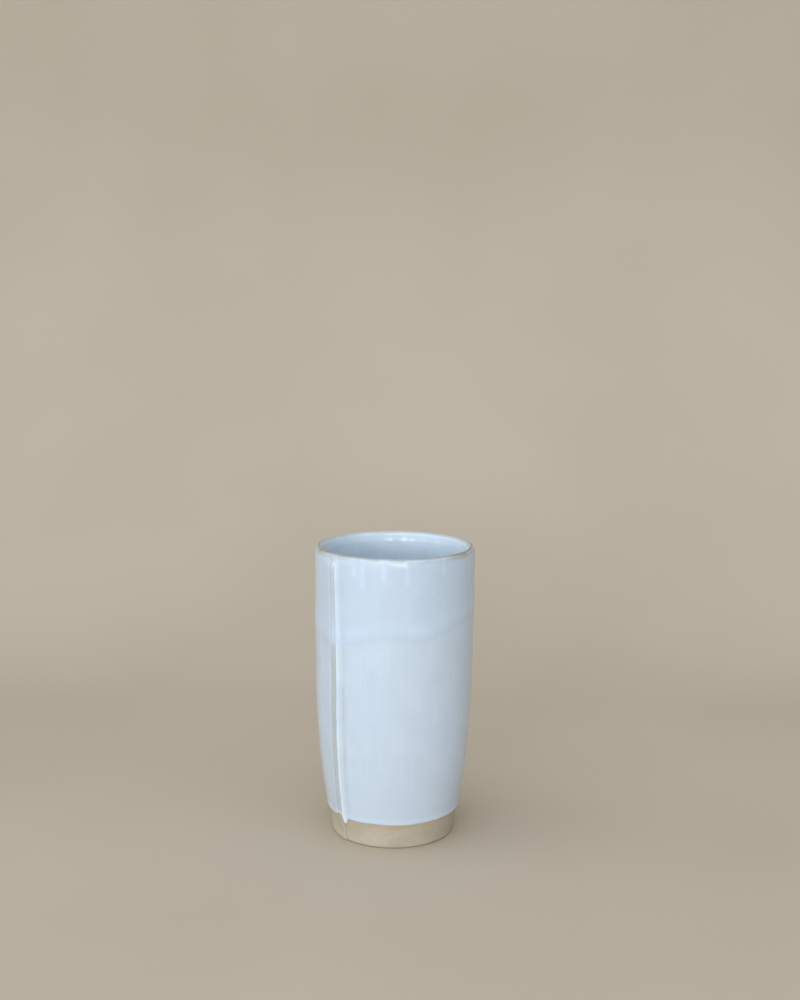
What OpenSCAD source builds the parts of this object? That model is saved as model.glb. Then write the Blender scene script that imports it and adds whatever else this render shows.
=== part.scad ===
// Tall slab-built stoneware tumbler without a handle.
// One rolled clay slab is bent into a tube whose left end laps over its right end.
// The wall stands on its own foot, a floor disc is set inside it, and glaze coats follow the clay.
// Origin: centre of the foot on the table. +Z is up, and the seam is at the front left.

/* [Cup] */
// Height from the table to the crown of the lip
height = 140; // [110:1:170]
// Clay diameter across the mouth, under the glaze
mouth_d = 75.2; // [66:0.2:88]
// Clay diameter across the foot
foot_d = 59; // [50:0.2:64]
// Height by which the wall has made most of its swell from foot to mouth
swell_h = 34.3; // [24:0.1:46]
// Power of the swell: 1 bends most at the foot, a higher one stays straight there for longer
swell_power = 1.35; // [1:0.05:1.8]
// Thickness of the rolled slab
slab_t = 3.4; // [2.8:0.1:4.6]
// Thickness of the wall just under the lip
lip_t = 2.8; // [2.2:0.1:3.4]
// Radius that the sponge leaves on the outer edge of the foot
foot_round = 1.2; // [0.6:0.1:2]

/* [Lapped seam] */
// Direction of the seam's visible cut edge, counted from +X
seam_dir = 223; // [0:1:359]
// Angle through which the outer end of the slab lies over the inner end
lap_angle = 18; // [14:1:24]
// Height of the cut edge above the wall beside it
edge_h = 1.6; // [1.5:0.1:2.4]
// Radius that the wet sponge leaves on the cut edge
edge_round = 1.1; // [0.6:0.1:1.2]
// Angle over which the wall rises towards the cut edge
rise_angle = 20; // [14:1:40]
// Power of that rise: a higher one keeps it nearer to the edge
rise_power = 2; // [1.2:0.1:4]
// Height under the lip over which the cut edge is smoothed away
smooth_h = 5; // [2:0.5:12]
// Slip left between the two ends of the slab
lap_slip_t = 0.2; // [0.1:0.05:0.25]
// Thickness of the inner end where it has been scarfed thin
scarf_tip_t = 1.1; // [0.8:0.1:1.6]

/* [Floor] */
// Thickness of the floor disc
floor_t = 4.2; // [3.4:0.1:6]
// Slip between the floor disc and the wall
floor_slip_t = 0.3; // [0.2:0.05:0.6]
// How far the slip joint under the foot stays back from the table
joint_recess = 0.4; // [0.3:0.1:1]
// Height and width of the coil pressed into the inside corner
coil_size = 3.6; // [2.5:0.1:5]

/* [Glaze] */
// Height of the glaze line above the table
glaze_line = 12.4; // [9:0.1:20]
// Thickness of the glaze on the outside
glaze_t = 0.45; // [0.3:0.05:0.7]
// Thickness of the glaze on the inside
liner_t = 0.4; // [0.3:0.05:0.7]
// Depth of the white glaze that pools beside the cut edge
pool_t = 0.8; // [0.6:0.05:1]
// Width of that pool
pool_w = 3.4; // [2:0.1:4]
// Height over which the glaze thickens above its line
glaze_roll = 0.8; // [0.4:0.1:1.5]
// Length of the drip that the pool leaves below the glaze line
drip_l = 3; // [1:0.1:4]
// How far the second dip reaches down from the lip on its highest side
dip_depth = 32; // [28:0.5:60]
// How much lower its slanting and waving line lies on the opposite side
dip_slant = 11.4; // [0:0.1:13]
// Thickness of the second dip over the first coat
dip_t = 0.18; // [0.1:0.02:0.3]

/* [Hidden] */

clay_colour = [0.71, 0.67, 0.58];
slip_colour = [0.62, 0.57, 0.48];
glaze_colour = [0.79, 0.86, 0.92];
dip_colour = [0.82, 0.87, 0.95];

// Facets of the revolved pieces, and the angle of one flat column of the wall
$fn = 120;
column_angle = 6;

// Clearance of the revolved pieces inside the flat columns of the wall
fit_gap = 0.05;
column_flat_share = cos(column_angle / 2);

mouth_r = mouth_d / 2;
foot_r = foot_d / 2;
lip_r = lip_t / 2;
lip_start = height - lip_r;
smooth_start = lip_start - smooth_h;
dip_line = height - dip_depth;
glaze_full = glaze_line + glaze_roll;

// Rows of the wall from the table up: the foot's round, the bare foot, the belly up to the
// second dip, the shoulder, and the turn of the lip as angles on its round
foot_row_shares = [0, 0.3, 1];
bare_row_share = 0.4;
belly_rows = 6;
belly_row_power = 1.3;
shoulder_rows = 2;
lip_angles = [0, 35, 66];
lip_taper_power = 4;
last_lip_angle = lip_angles[len(lip_angles) - 1];
wall_rows = concat(
    [for (s = foot_row_shares) s * foot_round],
    [between(foot_round, glaze_full, bare_row_share)],
    [for (k = [0:belly_rows]) between(glaze_full, dip_line, pow(k / belly_rows, belly_row_power))],
    [for (k = [1:shoulder_rows]) between(dip_line, smooth_start, k / shoulder_rows)],
    [for (a = lip_angles) lip_start + lip_r * sin(a) / sin(last_lip_angle)]);

// Rows where the coats of glaze begin and end
glaze_row = len(foot_row_shares) + 1;
dip_row = glaze_row + belly_rows;
lip_row = dip_row + shoulder_rows + 1;
glaze_top_row = lip_row + 1;
crown_row = len(wall_rows) - 1;

// Share of a raised edge that is left at the lip, and the share of its height on each row
lip_lift_share = 0.4;
function lift_share(z) = between(1, lip_lift_share, smooth((z - smooth_start) / smooth_h));

// How far the pool's drop stands off the cut edge, and how the pool thins away from it
pool_shift_share = 0.16;
pool_shares = [0.5, 1];
function pool_depth(share) = between(glaze_t, pool_t, pow(1 - share, 2));

// Shares of the glaze's thickness where it breaks over the rounded cut edge
break_shares = [0.9, 0.45, 0.35];
edge_skin_share = 0.25;
// How far the pool climbs the cut edge, as a share of its last round
edge_climb_share = 0.8;

// Shares of the drip's length at the pool's foot, middle and far side, and at the cut edge
drip_shares = [1, 0.35, 0];
last_drip_share = 0.55;

// The slant of the second dip's line and its waves, as shares of the whole drop, counts round
// the cup and turns
wave_middle_share = 0.5;
wave_shares = [0.37, 0.08, 0.04];
wave_counts = [1, 4, 9];
wave_turns = [142, 178, 258];

function between(a, b, share) = a + (b - a) * share;
function smooth(t) = t <= 0 ? 0 : t >= 1 ? 1 : t * t * (3 - 2 * t);

// Outside radius of the plain wall, its thickness, and how far the sponge cuts the foot back
function swell_share(z) = 1 - exp(-pow(z / swell_h, swell_power));
function wall_r(z) = between(foot_r, mouth_r, swell_share(z));
function wall_t(z) = between(slab_t, lip_t, pow(z / height, lip_taper_power));
function inner_r(z) = wall_r(z) - wall_t(z);
function foot_cut(z) = z >= foot_round ? 0
    : foot_round - sqrt(pow(foot_round, 2) - pow(foot_round - z, 2));

// Share of the wall's thickness that is left on a row of the lip's round
function lip_share(row) = row < lip_row ? 1 : cos(lip_angles[row - lip_row]);

// Radius on a row: share 0 is the inside face and 1 the outside, and lift stands beyond that
function shell_r(row, share, lift) =
    let (z = wall_rows[row], t = wall_t(z), middle = wall_r(z) - t / 2)
    middle + lip_share(row) * ((share - 0.5) * t + lift * lift_share(z)) - share * foot_cut(z);

// Length along the wall as an angle at the mouth's radius
function arc_angle(length) = length / mouth_r * 180 / PI;

// A place on a row is [angle past the cut edge, share, lift, shift along the wall]
function shell_point(row, place) =
    let (r = shell_r(row, place[1], place[2]),
         a = seam_dir + place[0] + arc_angle(place[3]))
    [r * cos(a), r * sin(a), wall_rows[row]];
function shell_row(row, places) = [for (p = places) shell_point(row, p)];
function shell_rows(first, last, places) = [for (row = [first:last]) shell_row(row, places)];

// A row that hangs below another by its own share at each place
function hung_row(row, places, shares) =
    [for (k = [0:len(places) - 1])
        between(shell_point(row, places[k]), shell_point(row - 1, places[k]), shares[k])];

// The rounded cut edge: lengths back from the edge as shares of its radius, angles and lifts
edge_shares = [1, 0.5, 0.13, 0];
function edge_drop(share) = edge_round * (1 - sqrt(1 - pow(1 - share, 2)));
edge_angles = [for (s = edge_shares) -arc_angle(s * edge_round)];
edge_lifts = [for (s = edge_shares) edge_h - edge_drop(s)];
last_edge = len(edge_shares) - 1;

// Lift of the wall's outside on its way up to the cut edge
function rise(angle) =
    edge_h * pow(max(0, angle + rise_angle - 360) / (rise_angle + edge_angles[0]), rise_power);

// Columns of the lap, counted back from the cut edge, and the ledge that the inner tip meets
lap_shares = [1, 2 / 3, 1 / 3, 1 / 6];
lap_angles = concat([for (s = lap_shares) -s * lap_angle], edge_angles);
ledge_angle = -lap_angle - arc_angle(lap_slip_t);

// Places round the outside of the clay, from the foot of the cut edge to the cut edge itself
pool_angles = [for (s = pool_shares) arc_angle(s * pool_w)];
plain_angles = [for (a = [column_angle:column_angle:360 + ledge_angle - column_angle / 3]) a];
rise_angles = concat(plain_angles, [360 + ledge_angle], [for (s = lap_shares) 360 - s * lap_angle]);
clay_places = concat(
    [[0, 1, 0, 0]],
    [for (a = pool_angles) [a, 1, 0, 0]],
    [for (a = rise_angles) [a, 1, rise(a), 0]],
    [for (k = [0:last_edge]) [360 + edge_angles[k], 1, edge_lifts[k], 0]]);

// The scarfed inner end under the lap, and the underside of the outer end that lies on it
scarf_tip_share = scarf_tip_t / slab_t;
function scarf_share(angle) = between(scarf_tip_share, 1, smooth(1 + angle / lap_angle));
tail_top_places = [for (a = lap_angles) [a, scarf_share(a), 0, 0]];
flap_under_places = [for (a = lap_angles) [a, scarf_share(a), lap_slip_t, 0]];

// Outside of the first coat of glaze over the same columns as the clay
cover_places = concat(
    [[0, 1, pool_depth(pool_shift_share), pool_shift_share * pool_w]],
    [for (k = [0:len(pool_shares) - 1]) [pool_angles[k], 1, pool_depth(pool_shares[k]), 0]],
    [for (a = rise_angles) [a, 1, rise(a) + glaze_t, 0]],
    [for (k = [0:last_edge - 1])
        [360 + edge_angles[k], 1, edge_lifts[k] + break_shares[k] * glaze_t, 0]],
    [[360, 1, between(edge_lifts[last_edge], edge_lifts[last_edge - 1], edge_climb_share),
      edge_skin_share * glaze_t]]);

// Outside of the second dip over the first coat
dip_places = [for (p = cover_places) [p[0], p[1], p[2] + dip_t, p[3] + (p[3] > 0 ? dip_t / 2 : 0)]];

// How far the first coat hangs below its full row at each place, as a share of the row below
last_place = len(clay_places) - 1;
bare_row_h = glaze_full - wall_rows[glaze_row - 1];
function drip_share(k) = k == last_place ? last_drip_share : k < len(drip_shares) ? drip_shares[k] : 0;
drip_hang_shares = [for (k = [0:last_place]) (glaze_roll + drip_share(k) * drip_l) / bare_row_h];

// Places at the glaze line, where the coat is thin
line_coat_share = 0.6;
line_places = [for (k = [0:last_place]) between(clay_places[k], cover_places[k], line_coat_share)];

// How far the second dip hangs below its line at each place
function wave(angle, k = 0) = k == len(wave_shares) ? wave_middle_share
    : wave_shares[k] * sin(wave_counts[k] * angle + wave_turns[k]) + wave(angle, k + 1);
dip_row_h = dip_line - wall_rows[dip_row - 1];
dip_hang_shares = [for (p = cover_places) wave(p[0]) * dip_slant / dip_row_h];

// Radius that a revolved piece may fill inside the wall's rows, the points that its wall side
// takes from the rows between two heights, and the round of the inside corner
bore_table = [for (z = wall_rows) [z, inner_r(z)]];
function bore_r(z) = lookup(z, bore_table) * column_flat_share - fit_gap;
function bore_points(low, high) = [for (z = wall_rows) if (z > low && z < high) [bore_r(z), z]];
floor_r_bottom = bore_r(0) - floor_slip_t;
floor_r_top = bore_r(floor_t) - floor_slip_t;
corner_steps = 8;
function corner_round(off) =
    let (low = [bore_r(floor_t) - coil_size, floor_t + off],
         corner = [bore_r(floor_t) - off, floor_t + off],
         high = [bore_r(floor_t + coil_size) - off, floor_t + coil_size])
    [for (k = [0:corner_steps])
        let (t = k / corner_steps)
        between(between(low, corner, t), between(corner, high, t), t)];

// A closed skin between an outer and an inner grid of points, rows going up and columns
// going round. A ring joins its last column to its first, and a strip has two ends.
module skin(outer, inner, ring = false) {
    rows = len(outer);
    cols = len(outer[0]);
    steps = ring ? cols : cols - 1;
    top = rows - 1;
    inside = rows * cols;
    function at(row, col) = row * cols + col % cols;
    function in(row, col) = inside + at(row, col);
    points = concat([for (row = outer) each row], [for (row = inner) each row]);
    faces = concat(
        [for (r = [0:top - 1]) for (c = [0:steps - 1]) each [
            [at(r, c), at(r + 1, c), at(r + 1, c + 1)],
            [at(r, c), at(r + 1, c + 1), at(r, c + 1)],
            [in(r, c), in(r, c + 1), in(r + 1, c + 1)],
            [in(r, c), in(r + 1, c + 1), in(r + 1, c)]]],
        [for (c = [0:steps - 1]) each [
            [at(0, c), at(0, c + 1), in(0, c + 1)],
            [at(0, c), in(0, c + 1), in(0, c)],
            [at(top, c + 1), at(top, c), in(top, c)],
            [at(top, c + 1), in(top, c), in(top, c + 1)]]],
        ring ? [] : [for (r = [0:top - 1]) each [
            [in(r, 0), in(r + 1, 0), at(r + 1, 0)],
            [in(r, 0), at(r + 1, 0), at(r, 0)],
            [at(r, steps), at(r + 1, steps), in(r + 1, steps)],
            [at(r, steps), in(r + 1, steps), in(r, steps)]]]);
    polyhedron(points, faces);
}

// The rolled slab: its scarfed inner end, once round the cup, and the outer end lapped over
module wall_slab() {
    tail_angles = [for (k = [0:len(lap_angles) - 2]) lap_angles[k]];
    under_angles = concat(tail_angles, [0], pool_angles, plain_angles, [360 + ledge_angle]);
    outer_places = concat([for (k = [0:len(tail_angles) - 1]) tail_top_places[k]], clay_places);
    inner_places = concat(
        [for (a = under_angles) [a, 0, 0, 0]],
        [for (p = flap_under_places) [360 + p[0], p[1], p[2], 0]]);
    color(clay_colour)
        skin(shell_rows(0, crown_row, outer_places), shell_rows(0, crown_row, inner_places));
}

// The film of slip in the lap, turned down past the inner tip to the inside of the cup
module lap_slip() {
    over_places = concat([[ledge_angle, 0, 0, 0]], flap_under_places);
    under_places = concat([[-lap_angle, 0, 0, 0]], tail_top_places);
    color(slip_colour)
        skin(shell_rows(0, crown_row, over_places), shell_rows(0, crown_row, under_places));
}

// The floor: a disc of the same clay whose edge leans as the wall does
module floor_slab() {
    color(clay_colour)
        rotate_extrude()
            polygon([[0, 0], [floor_r_bottom, 0], [floor_r_top, floor_t], [0, floor_t]]);
}

// Slip that joins the floor's edge to the wall, kept back from the table
module floor_slip() {
    low_r = between(floor_r_bottom, floor_r_top, joint_recess / floor_t);
    color(slip_colour)
        rotate_extrude()
            polygon(concat(
                [[low_r, joint_recess], [bore_r(joint_recess), joint_recess]],
                bore_points(joint_recess, floor_t),
                [[bore_r(floor_t), floor_t], [floor_r_top, floor_t]]));
}

// Thin coil pressed into the inside corner and smoothed hollow with a finger
module corner_coil() {
    wall_side = bore_points(floor_t, floor_t + coil_size);
    color(clay_colour)
        rotate_extrude()
            polygon(concat(
                corner_round(0),
                [for (k = [1:1:len(wall_side)]) wall_side[len(wall_side) - k]],
                [[bore_r(floor_t), floor_t]]));
}

// First coat on the outside: thin over the cut edge, thick beside it, with one drip
module outer_glaze() {
    color(glaze_colour)
        skin(
            concat([hung_row(glaze_row, line_places, drip_hang_shares)],
                   shell_rows(glaze_row, glaze_top_row, cover_places)),
            concat([hung_row(glaze_row, clay_places, drip_hang_shares)],
                   shell_rows(glaze_row, glaze_top_row, clay_places)),
            ring = true);
}

// Second dip from the rim down to a wavy line
module rim_dip_glaze() {
    color(dip_colour)
        skin(
            concat([hung_row(dip_row, dip_places, dip_hang_shares)],
                   shell_rows(dip_row, lip_row, dip_places)),
            concat([hung_row(dip_row, cover_places, dip_hang_shares)],
                   shell_rows(dip_row, lip_row, cover_places)),
            ring = true);
}

// Glaze poured round the inside: over the floor, the coil and the wall, up onto the lip
module liner_glaze() {
    liner_rows = [for (row = [glaze_row:glaze_top_row])
        if (wall_rows[row] > floor_t + coil_size + liner_t) row];
    function liner_point(row, t) =
        [shell_r(row, 0, 0) * column_flat_share - fit_gap - t * lip_share(row), wall_rows[row]];
    against_wall = [for (row = liner_rows) liner_point(row, 0)];
    toward_mouth = [for (k = [1:len(liner_rows)]) liner_point(liner_rows[len(liner_rows) - k], liner_t)];
    inside_corner = corner_round(liner_t);
    color(glaze_colour)
        rotate_extrude()
            polygon(concat(
                [[0, floor_t]],
                corner_round(0),
                against_wall,
                toward_mouth,
                [for (k = [0:corner_steps]) inside_corner[corner_steps - k]],
                [[0, floor_t + liner_t]]));
}

wall_slab();
lap_slip();
floor_slab();
floor_slip();
corner_coil();
outer_glaze();
rim_dip_glaze();
liner_glaze();
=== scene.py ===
# %% [markdown]
# A tall tumbler, built from one slab of clay
#
# The potter rolls a slab, cuts it to a strip, bends it into a tube and lets the left end lie over
# the right end. A floor disc goes in, the lip is sponged round, and after a first firing the cup is
# glazed: poured inside, dipped outside, then dipped once more by its rim. This lesson makes the same
# pieces in the same order, each as its own mesh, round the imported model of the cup.
#
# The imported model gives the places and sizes. Nothing in it is moved: where the lesson makes a
# finer piece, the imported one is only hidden.

from math import radians

import bpy
import numpy as np
from mathutils import Matrix, Vector, noise


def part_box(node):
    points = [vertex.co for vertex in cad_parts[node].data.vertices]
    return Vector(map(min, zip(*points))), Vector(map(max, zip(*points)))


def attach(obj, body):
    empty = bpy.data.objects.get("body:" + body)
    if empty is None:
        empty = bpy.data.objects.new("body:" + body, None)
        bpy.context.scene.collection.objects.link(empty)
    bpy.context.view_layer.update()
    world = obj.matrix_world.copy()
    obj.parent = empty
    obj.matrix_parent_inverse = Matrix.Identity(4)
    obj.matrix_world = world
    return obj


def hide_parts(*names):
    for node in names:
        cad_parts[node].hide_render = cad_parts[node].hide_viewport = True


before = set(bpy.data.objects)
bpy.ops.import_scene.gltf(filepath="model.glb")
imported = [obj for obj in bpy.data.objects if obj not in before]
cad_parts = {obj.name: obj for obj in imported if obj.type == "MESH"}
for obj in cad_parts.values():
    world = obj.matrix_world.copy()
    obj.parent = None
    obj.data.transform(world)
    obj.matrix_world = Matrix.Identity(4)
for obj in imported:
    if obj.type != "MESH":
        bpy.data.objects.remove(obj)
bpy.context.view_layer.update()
MM = 0.001


print("packed pieces:", ", ".join(sorted(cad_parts)))

# %% [markdown]
# The form of the wall
#
# The wall stands almost straight at the foot, swells quickly and then runs up nearly upright. A
# circle or a straight cone can't do that, so the radius follows one smooth rule: the swell is a
# share that grows from 0 at the table to 1 at the mouth. The slab keeps its rolled thickness and
# thins a little just under the lip, where wet fingers drew it out. All sizes are in millimetres.

# %% Sizes and radius of the wall
CUP_HEIGHT = 140.0
FOOT_RADIUS = 29.5
MOUTH_RADIUS = 37.6
SWELL_HEIGHT = 34.3
SWELL_POWER = 1.35
SLAB_THICK = 3.4
LIP_THICK = 2.8
LIP_TAPER_POWER = 4
LIP_START = CUP_HEIGHT - LIP_THICK / 2
FOOT_ROUND = 1.2


def between(start, end, share):
    """The value that lies a share of the way from start to end."""
    return start + (end - start) * share


def smooth(value, low=0.0, high=1.0):
    """0 up to low and 1 from high on, with an easy curve in between."""
    share = np.clip((value - low) / (high - low), 0, 1)
    return share * share * (3 - 2 * share)


def bump(distance, width):
    """A soft bump of height 1, which has mostly gone one width away."""
    return np.exp(-np.square(distance / width))


def wall_radius(z):
    """Outside radius of the plain clay wall."""
    swelled = 1 - np.exp(-np.power(np.maximum(z, 0) / SWELL_HEIGHT, SWELL_POWER))
    return between(FOOT_RADIUS, MOUTH_RADIUS, swelled)


def wall_thick(z):
    """Thickness of the clay wall."""
    return between(SLAB_THICK, LIP_THICK, np.power(np.clip(z / LIP_START, 0, 1), LIP_TAPER_POWER))


def foot_cut(z):
    """How far the sponge cut the outer edge of the foot back."""
    below = np.clip(FOOT_ROUND - z, 0, FOOT_ROUND)
    return FOOT_ROUND - np.sqrt(FOOT_ROUND ** 2 - below ** 2)


print("wall radius at the table and the mouth:", wall_radius(0), wall_radius(CUP_HEIGHT).round(2))

# %% [markdown]
# A place on the clay
#
# Every piece of this cup is either the slab or a coat on it, so one function gives any place on the
# slab's skin: a height, a tilt and how far out of the clay the place lies. Tilt is the way the skin
# faces: 0 is straight out, 90 is up on the crown of the lip, and 180 is in towards the middle.

# %% Places on the skin of the slab
SEAM_DIRECTION = 223.0
SEAM_LEAN = 1.0
SEAM_SWAY = 1.3
SWAY_FROM = 46.0
SWAY_LENGTH = 150.0
MM_PER_DEGREE = radians(1) * MOUTH_RADIUS


def on_skin(z, tilt, out):
    """Radius and height of a place that lies out mm off the plain clay."""
    half = wall_thick(z) / 2
    across = np.cos(np.radians(tilt))
    up = np.sin(np.radians(tilt))
    depth_share = np.where(across > 0, 1 + out / (2 * half), -out / (2 * half))
    cut = foot_cut(z) * np.clip(depth_share, 0, 1)
    return wall_radius(z) - half + across * (half + out) - cut, z + up * (half + out)


def rows_at(heights, tilt):
    """Rows on the straight of the wall, as (height, tilt) pairs."""
    return [(z, tilt) for z in heights]


def lip_rows(first_tilt, last_tilt, steps):
    """Rows over the round of the lip, as (height, tilt) pairs."""
    return [(LIP_START, tilt) for tilt in np.linspace(first_tilt, last_tilt, steps)]


def seam_sway(z):
    """How many degrees the hand-cut edge sways off its plumb line at a height."""
    return SEAM_LEAN + SEAM_SWAY * np.sin(2 * np.pi * (z - SWAY_FROM) / SWAY_LENGTH)


crown = on_skin(LIP_START, 90, 0)
print("crown of the lip: radius", crown[0].round(2), "height", crown[1].round(2))

# %% [markdown]
# Draw a section, then spin it
#
# A potter's wheel and a tube of clay have the same form: one section taken round an axis. So each
# piece starts as a single vertex that is extruded from point to point into its section, and the
# section is then spun. The spin runs in several spans, because the seam needs columns a tenth of a
# millimetre apart and the plain wall doesn't. Spin turns clockwise for an axis that points up, so
# the axis here points down.

# %% Helpers that select, draw and spin
def select_only(piece, kind, test):
    """Goes into edit mode with only the vertices, edges or faces selected that pass the test."""
    bpy.ops.object.mode_set(mode="EDIT")
    bpy.ops.mesh.select_mode(type=kind)
    bpy.ops.mesh.select_all(action="DESELECT")
    bpy.ops.object.mode_set(mode="OBJECT")
    mesh = piece.data
    for part in {"VERT": mesh.vertices, "EDGE": mesh.edges, "FACE": mesh.polygons}[kind]:
        part.select = bool(test(part))
    bpy.ops.object.mode_set(mode="EDIT")


def select_all():
    """Goes into edit mode with everything selected."""
    bpy.ops.object.mode_set(mode="EDIT")
    bpy.ops.mesh.select_all(action="SELECT")


def direction_of(turn):
    """The way in which a column stands from the axis, turn degrees past the cut edge."""
    angle = radians(SEAM_DIRECTION + turn)
    return Vector((np.cos(angle), np.sin(angle), 0))


def draw_section(name, radii, heights, turn, closed=True):
    """One vertex is extruded through places given in mm, and the last one joined to it if closed."""
    bpy.ops.object.select_all(action="DESELECT")
    out = direction_of(turn)
    places = [(out * float(radius) + Vector((0, 0, float(height)))) * MM
              for radius, height in zip(radii, heights)]
    bpy.ops.mesh.primitive_plane_add(size=MM, location=places[0])
    piece = bpy.context.object
    piece.name = name
    bpy.ops.object.transform_apply(location=True, rotation=True, scale=True)
    select_only(piece, "VERT", lambda vertex: True)
    bpy.ops.mesh.merge(type="CENTER")
    bpy.ops.object.mode_set(mode="OBJECT")
    select_all()
    for before, after in zip(places, places[1:]):
        bpy.ops.mesh.extrude_region_move(TRANSFORM_OT_translate={"value": after - before})
    if closed:
        select_only(piece, "VERT", lambda vertex: vertex.index in (0, len(places) - 1))
        bpy.ops.mesh.edge_face_add()
    return piece


def spin_section(piece, spans):
    """Spins the section through (angle, steps) spans and returns the turn of each column."""
    turns = [0.0]
    bpy.ops.mesh.select_all(action="SELECT")
    for angle, steps in spans:
        bpy.ops.mesh.spin(steps=steps, angle=radians(angle), center=(0, 0, 0), axis=(0, 0, -1),
                          use_auto_merge=False)
        turns += [turns[-1] + angle * (step + 1) / steps for step in range(steps)]
    bpy.ops.object.mode_set(mode="OBJECT")
    return np.array(turns)


# %% [markdown]
# Press the spun form
#
# A hand-made wall is not the same all round: the lap stands up, the glaze line wanders, a coat is
# thick in one place and thin in another. No single tool does that, so the spun columns are pressed
# in code. Every vertex keeps its row and column, and gets a new radius and height from a rule. The
# thickness of the coat is also kept on the vertices, because the glaze's colour depends on it.

# %% Helpers that press and finish a piece
MERGE_DISTANCE = 0.002
SHARP_ANGLE = 40.0


def keep_on(piece, name, values):
    """Stores one number for each vertex, which a material can read by its name."""
    kept = piece.data.attributes.new(name, "FLOAT", "POINT")
    kept.data.foreach_set("value", values.astype(np.float32).ravel())


def press(piece, turns, radius, height, coat=None):
    """Sets each vertex from grids of radius and height in mm, one line of the grid per column."""
    angle = np.radians(SEAM_DIRECTION + turns[:, None] + seam_sway(height))
    places = np.stack([radius * np.cos(angle), radius * np.sin(angle), height + 0 * radius], axis=-1)
    piece.data.vertices.foreach_set("co", (places * MM).astype(np.float32).ravel())
    if coat is not None:
        keep_on(piece, "coat", coat + 0 * radius)
    piece.data.update()


def close_round():
    """Merges the last column with the first, turns all faces outwards and smooths the shading."""
    select_all()
    bpy.ops.mesh.remove_doubles(threshold=MERGE_DISTANCE * MM)
    bpy.ops.mesh.normals_make_consistent(inside=False)
    bpy.ops.object.mode_set(mode="OBJECT")
    bpy.ops.object.shade_smooth_by_angle(angle=radians(SHARP_ANGLE))


def dress(piece, node):
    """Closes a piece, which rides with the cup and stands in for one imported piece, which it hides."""
    close_round()
    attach(piece, "root")
    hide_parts(node)
    mesh = piece.data
    triangles = sum(len(face.vertices) - 2 for face in mesh.polygons)
    sides = np.bincount([loop.edge_index for loop in mesh.loops], minlength=len(mesh.edges))
    print(piece.name, "has", triangles, "triangles, and", (sides != 2).sum(), "edges without two faces")


# %% [markdown]
# The unevenness of hands
#
# Rolled clay that was bent by hand is never quite round or quite straight. Smooth three-dimensional
# noise, read at each place on the wall, gives slow swells that close up round the cup by
# themselves. The slab and all coats read the same swells, so that the coats stay on the clay.

# %% Slow swells of the wall
HAND_SWELL = 0.16
HAND_SPREAD = 26.0


def noise_over(turns, z, spread, rise, shift=0.0):
    """Smooth noise from -1 to 1 on a grid of columns and heights, with spread and rise in mm."""
    heights = np.broadcast_to(z, (len(turns), np.shape(z)[-1]))
    grid = np.zeros(heights.shape)
    for column, turn in enumerate(turns):
        place = direction_of(turn) * (MOUTH_RADIUS / spread)
        for row, height in enumerate(heights[column]):
            grid[column, row] = noise.noise((place.x, place.y, height / rise + shift))
    return grid


def noise_sum(turns, z, layers):
    """Layers of noise added up, each as (size, spread, rise, shift)."""
    return sum(size * noise_over(turns, z, *layer) for size, *layer in layers)


def hand_swell(turns, z):
    """Slow swell of the clay, none at the table so that the cup stands flat."""
    return HAND_SWELL * noise_over(turns, z, HAND_SPREAD, HAND_SPREAD) * smooth(z, 0, HAND_SPREAD)


tried = hand_swell(np.arange(0, 360, 10.0), np.arange(0, CUP_HEIGHT, 5.0))
print("largest swell in mm:", np.abs(tried).max().round(3))

# %% [markdown]
# The lap
#
# The tube closes with a lap. The right end is scarfed, which means cut to a long slope, and the left
# end lies over it. The left end's cut edge stands proud of the wall and a wet sponge has rounded it.
# On the photographed cup this edge is the one line that tells how the cup was built, so its rise,
# its round and the slope under it are each written as a rule of the distance from the cut edge.

# %% Rules of the lap
LAP_ANGLE = 18.0
EDGE_HEIGHT = 1.6
EDGE_ROUND = 1.1
RISE_ANGLE = 20.0
RISE_POWER = 2
SCARF_TIP = 1.1
SLIP_THICK = 0.2
LIP_LIFT_SHARE = 0.4
LIP_SMOOTHED = 5.0
FOOT_LIFT_SHARE = 0.55
FOOT_SMOOTHED, FOOT_WHOLE = 6.0, 14.0
EDGE_FOOT = EDGE_HEIGHT - EDGE_ROUND


def past_edge(turns):
    """Distance along the wall past the cut edge in mm, below 0 on the end that lies on top."""
    return np.where(turns > 180, turns - 360, turns) * MM_PER_DEGREE


def lift_left(z):
    """Share of the raised edge that is left at a height: both its ends were smoothed down."""
    at_lip = between(1, LIP_LIFT_SHARE, smooth(z, LIP_START - LIP_SMOOTHED, LIP_START))
    return at_lip * between(FOOT_LIFT_SHARE, 1, smooth(z, FOOT_SMOOTHED, FOOT_WHOLE))


def lap_lift(turns, z):
    """How far the clay stands above the plain wall on its way up to the rounded cut edge."""
    back = -past_edge(turns)[:, None]
    reach = RISE_ANGLE * MM_PER_DEGREE
    climb = np.clip((reach - back) / (reach - EDGE_ROUND), 0, 1) ** RISE_POWER
    rounded = np.clip(1 - back / EDGE_ROUND, 0, 1)
    lift = EDGE_HEIGHT * climb - EDGE_ROUND * (1 - np.sqrt(1 - rounded ** 2))
    on_top = (turns > 180)[:, None]
    return np.where(on_top, lift, 0) * lift_left(z)


def scarf_left(turns):
    """Share of the slab's thickness that the scarf leaves under the lap, from its tip to the edge."""
    return between(SCARF_TIP / SLAB_THICK, 1, smooth(past_edge(turns), -LAP_ANGLE * MM_PER_DEGREE, 0))


print("edge in mm: stands", EDGE_HEIGHT, "proud and ends", round(EDGE_FOOT, 2), "above the wall")

# %% [markdown]
# The slab wall
#
# The section runs up the inside, over the lip and down the outside to the sponged foot. Rows are
# close together where bare clay shows, at the foot and on the lip, and wide apart under the glaze.
# The spin starts at the tip of the scarf and makes more than one full round, by the angle of the
# lap. Pressing then thins the first columns, lifts the last ones and leaves room for the slip.

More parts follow.
